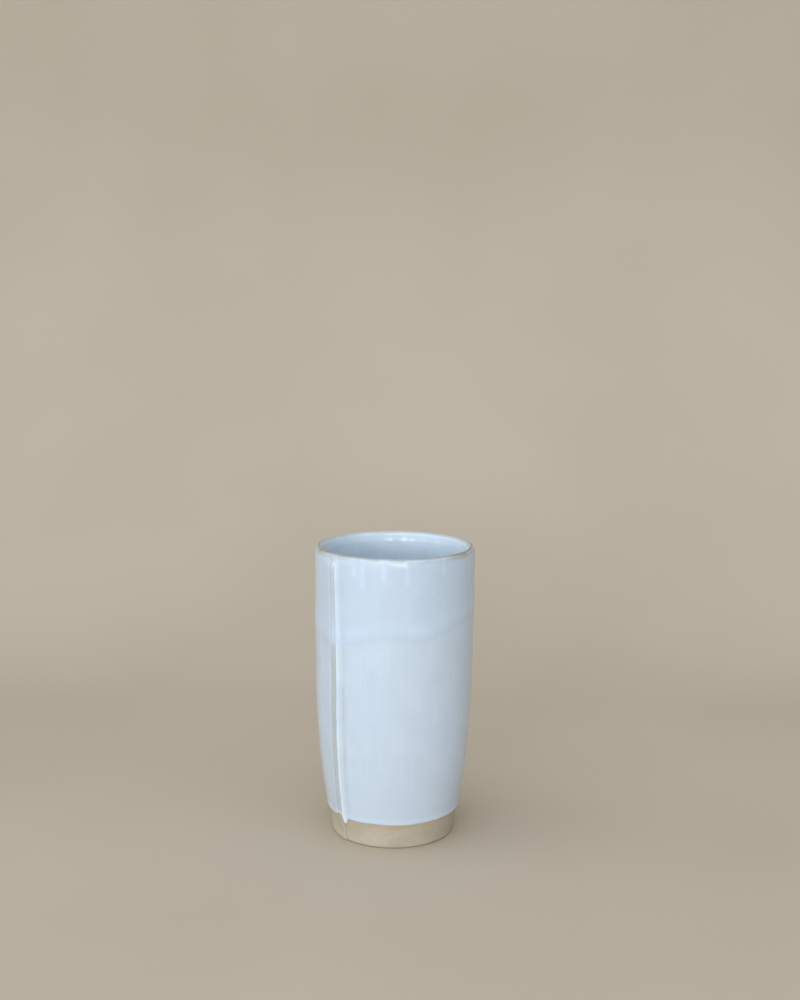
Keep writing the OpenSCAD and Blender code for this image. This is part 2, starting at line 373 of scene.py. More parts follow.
# %% Section of the slab
ROUND_STEPS = 9
LIP_STEPS = 25
BARE_STEP, HIDDEN_STEP = 0.4, 4.0
BARE_TOP, HIDDEN_START = 15.0, 16.0
INSIDE_LOW = [0, 0.5, 2, 4.2, 8]
quarter_round = 1 - np.cos(np.linspace(0, np.pi / 2, ROUND_STEPS))
bare_heights = np.arange(FOOT_ROUND + BARE_STEP, BARE_TOP, BARE_STEP)
hidden_heights = np.arange(HIDDEN_START, LIP_START - 2, HIDDEN_STEP)
upper_heights = np.append(hidden_heights, [LIP_START - 2, LIP_START - 1])
outside_heights = np.concatenate([FOOT_ROUND * quarter_round, bare_heights, upper_heights])

inside_rows = rows_at(INSIDE_LOW + list(upper_heights), 180)
slab_rows = inside_rows + lip_rows(180, 0, LIP_STEPS) + rows_at(outside_heights[::-1], 0)
slab_z, slab_tilt = np.array(slab_rows).T
print("rows in the section of the slab:", len(slab_rows))

# %% Spin and press the slab
CLAY_WEAR = [(0.05, 3.2, 2.2, 7), (0.03, 30, 0.9, 3)]
WEAR_START = 0.8
LEDGE_ANGLE = SLIP_THICK / MM_PER_DEGREE
AFTER_EDGE, BEFORE_EDGE, AT_EDGE = 4.0, 3.0, 0.1
plain_angle = 360 - LAP_ANGLE - LEDGE_ANGLE - AFTER_EDGE
slab_spans = [(LAP_ANGLE, 18), (AFTER_EDGE, 12), (plain_angle, 228), (LEDGE_ANGLE, 1),
              (LAP_ANGLE - BEFORE_EDGE, 20), (BEFORE_EDGE - AT_EDGE, 40), (AT_EDGE, 3)]


def clay_wear(turns, z):
    """Small dents and ridges that the sponge and the table leave in bare clay."""
    return noise_sum(turns, z, CLAY_WEAR) * smooth(z, 0, WEAR_START)


def fill_ends(piece, rows, columns):
    """Closes both open ends of a spun form, at its first and last column, with one face each."""
    for column in (0, columns - 1):
        select_only(piece, "VERT", lambda vertex: vertex.index // rows == column)
        bpy.ops.mesh.edge_face_add()


def make_slab_wall():
    """The wall: one slab, a full round and a lap long."""
    piece = draw_section("slab_wall", *on_skin(slab_z, slab_tilt, 0), -LAP_ANGLE)
    turns = spin_section(piece, slab_spans) - LAP_ANGLE
    outside = slab_tilt < 90
    thick = wall_thick(slab_z)
    under_lap = (turns > 360 - LAP_ANGLE - LEDGE_ANGLE / 2)[:, None]
    scarf = scarf_left(turns)[:, None]
    tail = -(1 - scarf) * thick * (turns < 0)[:, None]
    flap_under = -(scarf * thick + SLIP_THICK) * under_lap
    round_turns = np.where(turns < 0, turns + 360, turns)
    swell = hand_swell(round_turns, slab_z)
    outer = tail + lap_lift(turns, slab_z) * (turns > 0)[:, None] + clay_wear(round_turns, slab_z)
    out = np.where(outside, outer, flap_under) * np.abs(np.cos(np.radians(slab_tilt)))
    radius, height = on_skin(slab_z, slab_tilt, out)
    press(piece, turns, radius + swell, height)
    fill_ends(piece, len(slab_z), len(turns))
    return piece


slab_wall = make_slab_wall()
dress(slab_wall, "wall_slab")

# %% [markdown]
# Slip in the lap
#
# Slip is clay stirred to a cream. Brushed into the lap it glues the two ends together, and a little
# is squeezed out along the cut edge, where a finger wipes it into a small hollow. It is a thin closed
# film here: its lower side lies on the scarf, and its upper side carries the end on top.

# %% The film of slip
BEAD_WIDTH = 0.7
BEAD_HEIGHT = 0.42
SINK = 0.05
FOLD_ANGLE = 0.02
film_side = rows_at(outside_heights, 0) + lip_rows(0, 80, 9)
film_z, film_tilt = np.array(film_side + film_side[::-1]).T
film_over = np.arange(len(film_z)) < len(film_side)
film_spans = [(LEDGE_ANGLE, 1), (FOLD_ANGLE, 1), (LAP_ANGLE - FOLD_ANGLE, 30),
              (BEAD_WIDTH / MM_PER_DEGREE, 8)]


def make_lap_slip():
    """The slip between the two ends of the slab, with the bead that was wiped along the edge."""
    start = -LAP_ANGLE - LEDGE_ANGLE
    piece = draw_section("lap_slip_film", *on_skin(film_z, film_tilt, SLIP_THICK * film_over), start)
    turns = spin_section(piece, film_spans) + start
    thick = wall_thick(film_z)
    scarf = scarf_left(np.clip(turns, -LAP_ANGLE, 0))[:, None]
    scarf_top = -(1 - scarf) * thick
    past = np.clip(past_edge(turns), 0, BEAD_WIDTH)[:, None] / BEAD_WIDTH
    bead = BEAD_HEIGHT * (1 - past) ** 2 * lift_left(film_z) - SINK
    over = np.where(turns[:, None] < 0, scarf_top + SLIP_THICK, bead)
    turned_down = (turns < -LAP_ANGLE + FOLD_ANGLE / 2)[:, None]
    under = np.where(turned_down, -thick, scarf_top - 2 * SINK)
    across = np.cos(np.radians(film_tilt))
    radius, height = on_skin(film_z, film_tilt, np.where(film_over, over, under) * across)
    press(piece, turns, radius + hand_swell(turns % 360, film_z), height)
    fill_ends(piece, len(film_z), len(turns))
    return piece


lap_slip_film = make_lap_slip()
dress(lap_slip_film, "lap_slip")

# %% [markdown]
# The floor disc
#
# The floor was cut from the same slab as the wall and set inside it, so from below the foot shows a
# ring of wall, a fine groove of slip and the disc. A circle is extruded up and widened to the lean
# of the wall, its lower edge is bevelled as if a finger had run round it, and the underside is inset
# ring by ring and lifted a little, since a pressed floor never touches the table in its middle.

# %% Floor disc with a hollow underside
FLOOR_THICK = 4.2
FLOOR_EDGE = 0.35
FLOOR_SIDES = 144
DOWNWARDS = -0.9
HOLLOW_RINGS = 7
HOLLOW_DEPTH = 0.45
floor_top_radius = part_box("floor_slab")[1].x
floor_foot_radius = floor_top_radius - (wall_radius(FLOOR_THICK) - wall_radius(0)) * MM


def make_floor_disc():
    """The floor: a leaning disc with a softened edge and a slightly hollow underside."""
    bpy.ops.object.select_all(action="DESELECT")
    bpy.ops.mesh.primitive_circle_add(vertices=FLOOR_SIDES, radius=floor_foot_radius, fill_type="NGON")
    piece = bpy.context.object
    piece.name = "floor_disc"
    select_all()
    bpy.ops.mesh.extrude_region_move(TRANSFORM_OT_translate={"value": (0, 0, FLOOR_THICK * MM)})
    widen = floor_top_radius / floor_foot_radius
    bpy.ops.transform.resize(value=(widen, widen, 1))
    select_all()
    bpy.ops.mesh.normals_make_consistent(inside=False)
    select_only(piece, "FACE", lambda face: face.normal.z < DOWNWARDS)
    bpy.ops.mesh.bevel(offset=FLOOR_EDGE * MM, segments=4, affect="EDGES")
    select_only(piece, "FACE", lambda face: face.normal.z < DOWNWARDS and face.center.xy.length < MM)
    ring_width = (floor_foot_radius - FLOOR_EDGE * MM) / (HOLLOW_RINGS + 1)
    for ring in range(HOLLOW_RINGS):
        bpy.ops.mesh.inset(thickness=ring_width, depth=0)
        lift = HOLLOW_DEPTH * (smooth((ring + 1) / HOLLOW_RINGS) - smooth(ring / HOLLOW_RINGS))
        bpy.ops.transform.translate(value=(0, 0, float(lift) * MM))
    return piece


floor_disc = make_floor_disc()
dress(floor_disc, "floor_slab")

# %% Ring of slip round the floor
JOINT_RECESS = 0.4
JOINT_SAG = 0.1
JOINT_RISE = 0.12


def make_floor_slip():
    """The slip between the floor's edge and the wall, kept back from the table."""
    def floor_edge(z):
        return between(floor_foot_radius, floor_top_radius, z / FLOOR_THICK) / MM - SINK

    def wall_face(z):
        return wall_radius(z) - wall_thick(z) + SINK

    low, high, top = JOINT_RECESS, FLOOR_THICK, FLOOR_THICK - SINK
    radii = [floor_edge(low), between(floor_edge(0), wall_face(0), 0.5), wall_face(low), wall_face(high),
             floor_edge(high)]
    piece = draw_section("floor_slip_ring", radii, [low + JOINT_RISE, low, low - JOINT_SAG, top, top], 0)
    spin_section(piece, [(360, 180)])
    return piece


floor_slip_ring = make_floor_slip()
dress(floor_slip_ring, "floor_slip")

# %% [markdown]
# The first coat of glaze
#
# Glaze is poured or dipped as a cream and melts to glass in the kiln. While it is melted, surface
# tension shapes it: it draws back from the sharp cut edge and stays thin there, fills the corner
# beside the edge with a white pool, ends at its line in a round roll, and lets one drip run down
# where the pool was deepest. These are the things that make it look like glaze and not like paint,
# so all of them are real thickness here. The coat is a closed shell over the clay.

# %% Lower edge of the glaze
GLAZE_LINE = 12.4
LINE_WAVES = [(0.18, 5, 10), (0.15, 2, 150)]
LINE_DROP = 0.2
DRAWN_UP = 1.9
HANGS_BEYOND = 0.45
DRIP_LENGTH = 3.2
DRIP_PLACE = 1.4


def waves_round(turns, waves):
    """Waves round the cup added up, each as (height in mm, waves in a full round, degrees shifted)."""
    return sum(height * np.sin(np.radians(count * turns + shift)) for height, count, shift in waves)


def glaze_line(turns):
    """Height of the lower edge of the glaze: it wanders, draws up beside the edge and drips."""
    past = past_edge(turns)
    drawn_up = DRAWN_UP * np.where(past < 0, bump(past, 4.5), 1 - smooth(past, 0, 1.5))
    beyond = HANGS_BEYOND * smooth(past, 1, 4) * (1 - smooth(past, 12, 22))
    drip = DRIP_LENGTH * bump(np.abs(past - DRIP_PLACE) ** 1.3, 2.0) * smooth(past, -1, 0.4)
    return GLAZE_LINE - LINE_DROP + waves_round(turns, LINE_WAVES) + drawn_up - beyond - drip


print("height of the drip's end in mm:", glaze_line(np.arange(0, 9, 0.1)).min().round(2))

# %% Pool beside the cut edge
GLAZE_THICK = 0.45
POOL_THICK = 0.95
POOL_WIDTH = 3.4
POOL_TOP = 0.4
DRAINED_AT = 3.8
DRAINED_DEPTH = 0.16
DRAINED_WIDTH = 2.2
STEP_WIDTH = 0.1


def higher_of(one, other, ease):
    """The larger of two heights, with the corner between them filled to a hollow."""
    return (one + other + np.sqrt((one - other) ** 2 + ease ** 2)) / 2


def below_lip(z, reach):
    """1 down the wall, easing to 0 over three mm that start reach mm below the lip."""
    return 1 - smooth(z, LIP_START - reach, LIP_START - reach + 3)


def pool_height(turns, z):
    """Height of the pool beside the cut edge, and of the plain coat beyond it."""
    past = past_edge(turns)[:, None]
    wander = 0.6 * np.sin(z / 6.5) + 0.4 * np.sin(z / 2.7 + 2)
    fall = 1 - smooth(past, POOL_TOP, POOL_WIDTH * (1 + 0.16 * wander) + 1)
    rise = between(0.6, 1, smooth(past, 0, POOL_TOP))
    filled = (POOL_THICK - GLAZE_THICK) * (1 + 0.15 * wander) * rise * fall
    drained = DRAINED_DEPTH * bump(past - DRAINED_AT, DRAINED_WIDTH)
    beside = GLAZE_THICK + (filled - drained) * below_lip(z, 4)
    return np.where(past >= 0, beside, GLAZE_THICK + 0.1 + 3 * past)


def clay_off(turns, z, tilt):
    """How far the clay itself stands off the plain wall, its step drawn out over a short way."""
    past = past_edge(turns)[:, None]
    step = EDGE_FOOT * lift_left(z) * np.clip(1 - past / STEP_WIDTH, 0, 1) * (turns < 180)[:, None]
    return (lap_lift(turns, z) + step) * np.cos(np.radians(tilt))


print("pool half way up in mm:", pool_height(np.arange(0, 5, 0.1), CUP_HEIGHT / 2).max().round(2))

# %% Where the coat draws back
LIP_LEFT = 0.5
LIP_PATCHES = [(0.2, 7, 7, 41)]
# The two spots with more glaze lie where the lip catches the window. They are glossier and whiter there,
# which is partly real thicker glaze and partly a painted highlight. The two spots with less glaze are
# real thin, browner patches.
LIP_THIN_SPOTS_AND_PAINTED_HIGHLIGHTS = [(40, 3.0, 0.3), (58, 4.0, 0.12), (338, 7.0, -0.28), (104, 9.0, -0.28)]
LIP_THINS, LIP_THIN = -2.5, 0.5
CROWN_LEFT = 0.4
CROWN_THIN = 1.9
BREAK_LEFT = 0.4
BREAK_STARTS, BREAK_WHOLE = -3.6, -1.2
REGAINED_AT = 1.5


def lip_left(turns):
    """Share of a coat that stays just below the lip, more in some places than in others."""
    share = LIP_LEFT + noise_sum(turns, np.zeros(1), LIP_PATCHES)
    for turn, half_length, more in LIP_THIN_SPOTS_AND_PAINTED_HIGHLIGHTS:
        share = share + more * bump((turns[:, None] - turn) * MM_PER_DEGREE, half_length)
    return share


def lip_share(turns, z, tilt):
    """Share of an outside coat that is left: it thins just below the lip and again on the crown."""
    climbed = z - LIP_START + np.radians(tilt) * LIP_THICK / 2
    below = between(1, lip_left(turns), smooth(climbed, LIP_THINS, LIP_THIN))
    return below * between(1, CROWN_LEFT, smooth(climbed, LIP_THIN, CROWN_THIN))


def edge_break(past, z, regained=1):
    """Share of a coat that stays at the cut edge, past which the coat regains what it lost."""
    drawn_back = smooth(past, BREAK_STARTS, BREAK_WHOLE) - regained * smooth(past, 0, REGAINED_AT)
    return 1 - (1 - BREAK_LEFT) * below_lip(z, 2) * drawn_back


left_at_lip = lip_left(np.arange(0, 360, 5.0))
print("share left below the lip:", left_at_lip.min().round(2), "to", left_at_lip.max().round(2))

# %% The first coat as a whole
GLAZE_ROLL = 0.8
ROLL_MORE, ROLL_MIDDLE, ROLL_WIDTH = 0.55, 1.3, 1.2
COAT_WAVES = [(0.13, 11, 16, 11), (0.07, 4.5, 5, 13)]
FAR_FROM_EDGE = 12.0
EDGE_FALL = 8
CORNER_EASE = 0.16


def first_coat(turns, z, tilt):
    """How far the first coat's surface and underside lie off the plain clay, and its thickness."""
    past = past_edge(turns)[:, None]
    above_line = z - glaze_line(turns)[:, None]
    lift = clay_off(turns, z, tilt)
    rolled = 1 + ROLL_MORE * bump(above_line - ROLL_MIDDLE, ROLL_WIDTH)
    full = GLAZE_THICK * (1 + noise_sum(turns, z, COAT_WAVES)) * rolled
    thin = full * edge_break(past, z, regained=0)
    edge_top = EDGE_FOOT * lift_left(z) * np.cos(np.radians(tilt))
    over_edge = np.where(past < 0, lift + thin, edge_top + thin - EDGE_FALL * past)
    beside = pool_height(turns, z) + full - GLAZE_THICK
    far = np.abs(past) > FAR_FROM_EDGE
    surface = np.where(far, lift + full, higher_of(over_edge, beside, CORNER_EASE))
    round_end = np.sqrt(1 - np.clip(1 - above_line / GLAZE_ROLL, 0, 1) ** 2)
    coat = (surface - lift) * lip_share(turns, z, tilt) * round_end
    return lift + coat - SINK * (1 - round_end), lift - 2 * SINK, coat


# %% Spin and press the first coat
COAT_SPANS = [(0.9, 7), (3.6, 14), (5.5, 8), (332, 220), (12, 12), (4, 10), (2, 16)]
LINE_REACH = 14.0
roll_heights = np.append(GLAZE_ROLL * quarter_round, [1.05, 1.4, 1.8, 2.3, 2.9, 3.6, 4.4, 5.3, 6.3])
line_heights = GLAZE_LINE + roll_heights
body_heights = np.linspace(line_heights[-1], LIP_START, 110)[1:]
seat_heights = np.append([GLAZE_LINE, GLAZE_LINE + 1], np.linspace(GLAZE_LINE + 4, LIP_START, 36))
coat_top = rows_at(np.append(line_heights, body_heights), 0) + lip_rows(6, 82, 12)
coat_under = lip_rows(82, 6, 6) + rows_at(seat_heights[::-1], 0)


def make_outside_coat(name, top, under, line, usual, reach, lay):
    """A coat on the outside: its rows move with a wandering line, less and less up to reach above it."""
    z, tilt = np.array(top + under).T
    on_top = np.arange(len(z)) < len(top)
    piece = draw_section(name, *on_skin(z, tilt, GLAZE_THICK * on_top), 0)
    turns = spin_section(piece, COAT_SPANS)
    z = z + (line(turns)[:, None] - usual) * (1 - smooth(z, usual, usual + reach))
    surface, seat, coat = lay(turns, z, tilt)
    radius, height = on_skin(z, tilt, np.where(on_top, surface, seat))
    press(piece, turns, radius + hand_swell(turns, z), height, coat)
    return piece


outer_glaze_coat = make_outside_coat("outer_glaze_coat", coat_top, coat_under, glaze_line, GLAZE_LINE,
                                     LINE_REACH, first_coat)
dress(outer_glaze_coat, "outer_glaze")

# %% [markdown]
# The second dip
#
# The cup was held by its foot and dipped once more, rim first. That left a second coat down to a
# line that slants and waves across the wall, as the hand tilted and the glaze drained back. Near the
# lip the coat sagged in short vertical runs. The coat lies on the first one and fades in over seven
# millimetres, so its edge shows as a soft change and not as a step. A real coat's whiteness grows
# faster than its thickness, so the number that the colour reads gets a share more than the shape does.

# %% Rules of the second dip
DIP_LINE = 101.0
DIP_WAVES = [(4.6, 1, -62), (1.6, 5, -85), (0.4, 9, 60)]
DIP_THICK = 0.09
DIP_FADE = 7.0
GATHERED_THICK = 0.08
GATHERED_ABOVE = 7.0
GATHERED_WIDTH = 6.0
FLANK_LEFT = 0.45
DIP_MILKINESS = 1.2
GATHERED_MILKINESS = 1.1
RUN_THICK = 0.035
RUN_MILKINESS = 8.0
RUNS = [(17.5, 129, 2.2), (24, 123, 2.6), (39.5, 127, 2.6), (55.5, 125, 2.4), (83, 131, 1.4),
        (112, 124, 1.7), (147, 130, 1.3), (181, 126, 1.8), (214, 131, 1.4), (252, 123, 1.6),
        (290, 129, 1.5), (331, 126, 1.7)]


def dip_line(turns):
    """Height of the second dip's lower edge, which slants and waves."""
    return DIP_LINE + waves_round(turns, DIP_WAVES)


def runs(turns, z):
    """Share of a run's thickness at each place: full along a run, round at its lower end."""
    total = 0 * z
    for turn, end, width in RUNS:
        aside = ((turns - turn + 180) % 360 - 180)[:, None] * MM_PER_DEGREE
        total = np.maximum(total, bump(aside, width * 0.6) * smooth(z, end, end + 2 * width))
    return total


def second_coat(turns, z, tilt):
    """How far the second coat's surface and underside lie off the plain clay, and both coats' number."""
    first, _, coat = first_coat(turns, z, tilt)
    above_line = z - dip_line(turns)[:, None]
    faded_in = smooth(above_line, 0, DIP_FADE)
    left = lip_share(turns, z, tilt) * between(FLANK_LEFT, 1, edge_break(past_edge(turns)[:, None], z))
    gathered = GATHERED_THICK * bump(above_line - GATHERED_ABOVE, GATHERED_WIDTH)
    film = (DIP_THICK + gathered) * faded_in * left
    run = RUN_THICK * runs(turns, z) * left
    milky = DIP_MILKINESS * film + RUN_MILKINESS * run + GATHERED_MILKINESS * gathered * left
    return first + film + run - SINK / 2 * (1 - faded_in), first - SINK, coat + milky


# %% Spin and press the second dip
DIP_REACH = 30.0
fade_heights = np.linspace(DIP_LINE, DIP_LINE + DIP_FADE, 9)
dip_heights = np.append(fade_heights, np.linspace(DIP_LINE + DIP_FADE, LIP_START, 34)[1:])
dip_top = rows_at(dip_heights, 0) + lip_rows(6, 86, 12)

rim_dip_coat = make_outside_coat("rim_dip_coat", dip_top, dip_top[::-1], dip_line, DIP_LINE,
                                 DIP_REACH, second_coat)
dress(rim_dip_coat, "rim_dip_glaze")

# %% [markdown]
# The glaze inside
#
# The inside was filled with glaze and poured out again. The coat runs from the middle of the floor
# through the hollow corner, where it collected, up the wall and onto the lip. The rim dip also wet
# the inside for a few millimetres and ended there in a small broken ridge, which is what catches the
# light just under the rim. The section is left open at the axis, and merging closes both poles.

# %% Section of the inside coat
LINER_THICK = 0.4
COIL_SIZE = 3.6
RIDGE_HEIGHT = 134.7
RIDGE_THICK = 0.23
RIDGE_WIDTH = 1.8
RIDGE_DROPS = [(213, 1.4), (219.6, 2.6), (231, 1.6)]
RIDGE_BREAKS = [(1.1, 9, 9, 31)]
WETTED_THICK = 0.1
CORNER_POOL = 0.5
MIDDLE_PUDDLE = 0.1
INSIDE_WAVES = [(0.16, 12, 14, 21)]
LIP_LEFT_INSIDE = 0.84
CROWN_LEFT_INSIDE = 0.55
corner_radius = wall_radius(FLOOR_THICK) - wall_thick(FLOOR_THICK)
wall_foot = FLOOR_THICK + COIL_SIZE


def inside_path():
    """Base points of the inside, from the middle of the floor to the lip, and the way each faces."""
    floor = [(radius, FLOOR_THICK) for radius in np.linspace(0, corner_radius - COIL_SIZE, 14)[:-1]]
    start = np.array([corner_radius - COIL_SIZE, FLOOR_THICK])
    corner = np.array([corner_radius, FLOOR_THICK])
    end = np.array([wall_radius(wall_foot) - wall_thick(wall_foot), wall_foot])
    hollow = [between(between(start, corner, share), between(corner, end, share), share)
              for share in np.linspace(0, 1, 13)[:-1]]
    below_ridge = RIDGE_HEIGHT - 3
    lower, upper = np.linspace(wall_foot, below_ridge, 62), np.linspace(below_ridge, LIP_START, 22)[1:]
    z, tilt = np.array(rows_at(lower, 180) + rows_at(upper, 180) + lip_rows(174, 98, 11)).T
    points = np.array(floor + hollow + list(zip(*on_skin(z, tilt, 0))))
    along = np.gradient(points, axis=0)
    facing = np.stack([-along[:, 1], along[:, 0]], axis=1) / np.linalg.norm(along, axis=1)[:, None]
    return points, facing, np.append(np.full(len(floor) + len(hollow), 180.0), tilt)


inside_points, inside_facing, inside_tilt = inside_path()
print("points along the inside:", len(inside_points), "up to", inside_points[-1].round(2))


def inside_coat(turns):
    """Thickness of the inside coat on a grid of columns and points."""
    radius, height = inside_points.T
    waves = 1 + noise_sum(turns, height, INSIDE_WAVES) * smooth(radius, 0, FOOT_RADIUS)
    in_corner = CORNER_POOL * bump(np.hypot(radius - corner_radius + 1.2, height - FLOOR_THICK - 1.2), 3)
    in_middle = MIDDLE_PUDDLE * bump(radius, 12) * (height < wall_foot)
    broken = np.clip(0.25 + noise_sum(turns, height * 0, RIDGE_BREAKS), 0, 0.7)
    for turn, length in RIDGE_DROPS:
        broken = np.maximum(broken, bump((turns[:, None] - turn) * MM_PER_DEGREE, length))
    ridge = RIDGE_THICK * bump(height - RIDGE_HEIGHT, RIDGE_WIDTH) * broken
    wetted = WETTED_THICK * smooth(height, RIDGE_HEIGHT, RIDGE_HEIGHT + 0.8)
    near_lip = between(1, LIP_LEFT_INSIDE, smooth(height, LIP_START - 4, LIP_START + 0.5))
    on_crown = between(1, CROWN_LEFT_INSIDE, smooth(180 - inside_tilt, 0, 50))
    return (LINER_THICK * waves + in_corner + in_middle + ridge + wetted) * near_lip * on_crown


# %% Spin and press the inside coat
def make_inner_glaze():
    """The coat inside, a closed shell from the middle of the floor to the lip."""
    coarse = np.arange(len(inside_points)) % 3 == 0
    coarse[-1] = True
    seat = (inside_points - inside_facing * SINK)[coarse]
    seat[0, 0] = 0
    section = np.concatenate([inside_points + inside_facing * LINER_THICK, seat[::-1]])
    section[0, 0] = 0
    piece = draw_section("inner_glaze_coat", *section.T, 0, closed=False)
    turns = spin_section(piece, [(360, 240)])
    coat = inside_coat(turns)
    places = inside_points + inside_facing * coat[..., None]
    places[:, 0, 0] = 0
    swell = hand_swell(turns, inside_points[:, 1]) * (inside_points[:, 0] > corner_radius - 1)
    places[:, :, 0] += swell
    seats = np.broadcast_to(seat[::-1], (len(turns),) + seat.shape).copy()
    seats[:, :, 0] += swell[:, coarse][:, ::-1]
    grid = np.concatenate([places, seats], axis=1)
    kept = np.concatenate([coat, np.zeros(seats.shape[:2])], axis=1)
    press(piece, turns, grid[..., 0], grid[..., 1], kept)
    return piece


inner_glaze_coat = make_inner_glaze()
dress(inner_glaze_coat, "liner_glaze")

# %% [markdown]
# Where the fire toasts the clay
#
# Bare stoneware turns browner where it lies right beside glaze, and on thin edges that get hottest.
# The slab keeps a number for that on its vertices, found from each vertex's own place: 1 just under
# the wandering glaze line and on the crown of the lip, and 0 where the clay stays pale.

# %% Toast marks on the slab
TOAST_DEPTH = 2.2


def places_of(piece):
    """Turn past the cut edge, radius and height in mm of every vertex."""
    places = np.empty(len(piece.data.vertices) * 3, np.float32)
    piece.data.vertices.foreach_get("co", places)
    x, y, z = (places.reshape(-1, 3) / MM).T
    return (np.degrees(np.arctan2(y, x)) - SEAM_DIRECTION - seam_sway(z)) % 360, np.hypot(x, y), z


def toast_marks(piece):
    """1 in a narrow band under the glaze line and on the lip, 0 elsewhere."""
    turns, radius, z = places_of(piece)
    patchy = [0.75 + 0.7 * noise.noise((turn / 11, height / 9, 3)) for turn, height in zip(turns, z)]
    under_line = bump(np.minimum(z - glaze_line(turns) + 0.2, 0), TOAST_DEPTH) * np.clip(patchy, 0.2, 1)
    return np.maximum(under_line, smooth(z, LIP_START, LIP_START + 0.6))


toast = toast_marks(slab_wall)
keep_on(slab_wall, "toast", toast)
print("share of the slab's vertices that the fire toasted:", (toast > 0.5).mean().round(3))

# %% [markdown]
# Small tools for shader nodes
#
# A material here is a handful of noise patterns, steps and blends. These short helpers add one node
# each, so that the recipes below read like a glaze book: what is mixed, how much and where.

# %% Helpers that add shader nodes
def paint(red, green, blue):
    """A colour from 0 to 255, as a paint program shows it, in the linear values of a shader."""
    shown = np.array([red, green, blue]) / 255
    linear = np.where(shown < 0.04, shown / 12.92, ((shown + 0.055) / 1.055) ** 2.4)
    return (*(float(value) for value in linear), 1.0)


def plug(tree, socket, value):
    """Links a socket to another one, or sets its value."""
    if isinstance(value, bpy.types.NodeSocket):
        tree.links.new(value, socket)
    else:
        socket.default_value = value


def add_node(tree, kind, settings=None, **sockets):
    """Adds a node with its settings; a socket's name has _ for each space."""
    made = tree.nodes.new("ShaderNode" + kind)
    for name, value in (settings or {}).items():
        setattr(made, name, value)
    for name, value in sockets.items():
        plug(tree, made.inputs[name.replace("_", " ")], value)
    return made


def maths(tree, operation, one, other):
    """One sum on two numbers."""
    made = add_node(tree, "Math", {"operation": operation})
    plug(tree, made.inputs[0], one)
    plug(tree, made.inputs[1], other)
    return made.outputs[0]


def times(tree, one, other):
    """Two numbers multiplied."""
    return maths(tree, "MULTIPLY", one, other)


def blend(tree, share, one, other):
    """The colour that lies a share of the way from one to the other."""
    made = add_node(tree, "Mix", {"data_type": "RGBA"})
    for socket, value in zip((0, 6, 7), (share, one, other)):
        plug(tree, made.inputs[socket], value)
    return made.outputs[2]


def layered(tree, colour, layers):
    """A colour under layers of others, each as (mask, how strong it is where the mask is 1, colour)."""
    for mask, strength, layer in layers:
        colour = blend(tree, times(tree, mask, strength), colour, layer)
    return colour


def eased(tree, value, low, high, to_low=0.0, to_high=1.0):
    """An easy step: to_low up to low, to_high from high on."""
    made = add_node(tree, "MapRange", {"interpolation_type": "SMOOTHSTEP"}, Value=value,
                    From_Min=low, From_Max=high, To_Min=to_low, To_Max=to_high)
    return made.outputs["Result"]


def blotches(tree, across, up, detail=2.0):
    """Noise from about 0.2 to 0.8, its blotches so many mm across and up, fixed to the piece."""
    place = add_node(tree, "TexCoord").outputs["Object"]
    scale = (1 / (across * MM), 1 / (across * MM), 1 / (up * MM))
    scaled = add_node(tree, "Mapping", Vector=place, Scale=scale)
    return add_node(tree, "TexNoise", Vector=scaled.outputs[0], Scale=1.0, Detail=detail).outputs[0]


print("a mid grey of 128 is", round(paint(128, 128, 128)[0], 3), "to the shader")

# %% Helpers that start and place groups and materials
def start_group(name, given, put_out):
    """A new node group with its inputs (name, kind, value) and outputs (name, kind)."""
    tree = bpy.data.node_groups.new(name, "ShaderNodeTree")
    for socket, kind, value in given:
        made = tree.interface.new_socket(socket, in_out="INPUT", socket_type="NodeSocket" + kind)
        made.default_value = value
    for socket, kind in put_out:
        tree.interface.new_socket(socket, in_out="OUTPUT", socket_type="NodeSocket" + kind)
    return tree, tree.nodes.new("NodeGroupInput").outputs, tree.nodes.new("NodeGroupOutput").inputs


def use_group(tree, group, **sockets):
    """Places a group in a material or in another group."""
    return add_node(tree, "Group", {"node_tree": group}, **sockets).outputs


def start_material(name):
    """A new material with its node tree and the sockets of its shader."""
    material = bpy.data.materials.new(name)
    material.use_nodes = True
    return material, material.node_tree, material.node_tree.nodes["Principled BSDF"].inputs


def finish_with(material, *pieces):
    """Gives pieces a material, in place of what they had."""
    for piece in pieces:
        piece.data.materials.clear()
        piece.data.materials.append(material)
    print(material.name, "is on", ", ".join(piece.name for piece in pieces))


# %% [markdown]
# Grains
#
# This clay has grog, which is crushed fired clay, and a few specks of iron. Both are grains that lie
# at random in the body, and the iron also bleeds faintly into the glaze. A Voronoi pattern gives one
# point for each cell; a grain is drawn round the point, and a random number decides how large.

# %% Node group of scattered grains
RAGGED_SIZE = 0.5
RAGGED_DEPTH = 0.3
RARE_LARGE = 3.0
SOLID_SHARE = 0.55


def make_grain_group():
    """A mask that is 1 in grains, Spacing mm apart and up to Largest of that across."""
    tree, given, put_out = start_group(
        "scattered_grains", [("Spacing", "Float", 2.0), ("Largest", "Float", 0.3)], [("Mask", "Float")])
    place = add_node(tree, "TexCoord").outputs["Object"]
    ragged = add_node(tree, "TexNoise", Vector=place, Scale=1 / (RAGGED_SIZE * MM)).outputs["Color"]
    nudge = add_node(tree, "VectorMath", {"operation": "SCALE"}, Vector=ragged, Scale=RAGGED_DEPTH * MM)
    bent = add_node(tree, "VectorMath", {"operation": "ADD"})
    plug(tree, bent.inputs[0], place)
    plug(tree, bent.inputs[1], nudge.outputs[0])
    per_metre = maths(tree, "DIVIDE", 1 / MM, given["Spacing"])
    cells = add_node(tree, "TexVoronoi", Vector=bent.outputs[0], Scale=per_metre).outputs
    chance = add_node(tree, "SeparateColor", Color=cells["Color"]).outputs[0]
    radius = times(tree, maths(tree, "POWER", chance, RARE_LARGE), given["Largest"])
    solid = times(tree, radius, SOLID_SHARE)
    plug(tree, put_out["Mask"], eased(tree, cells["Distance"], solid, radius, 1.0, 0.0))
    return tree


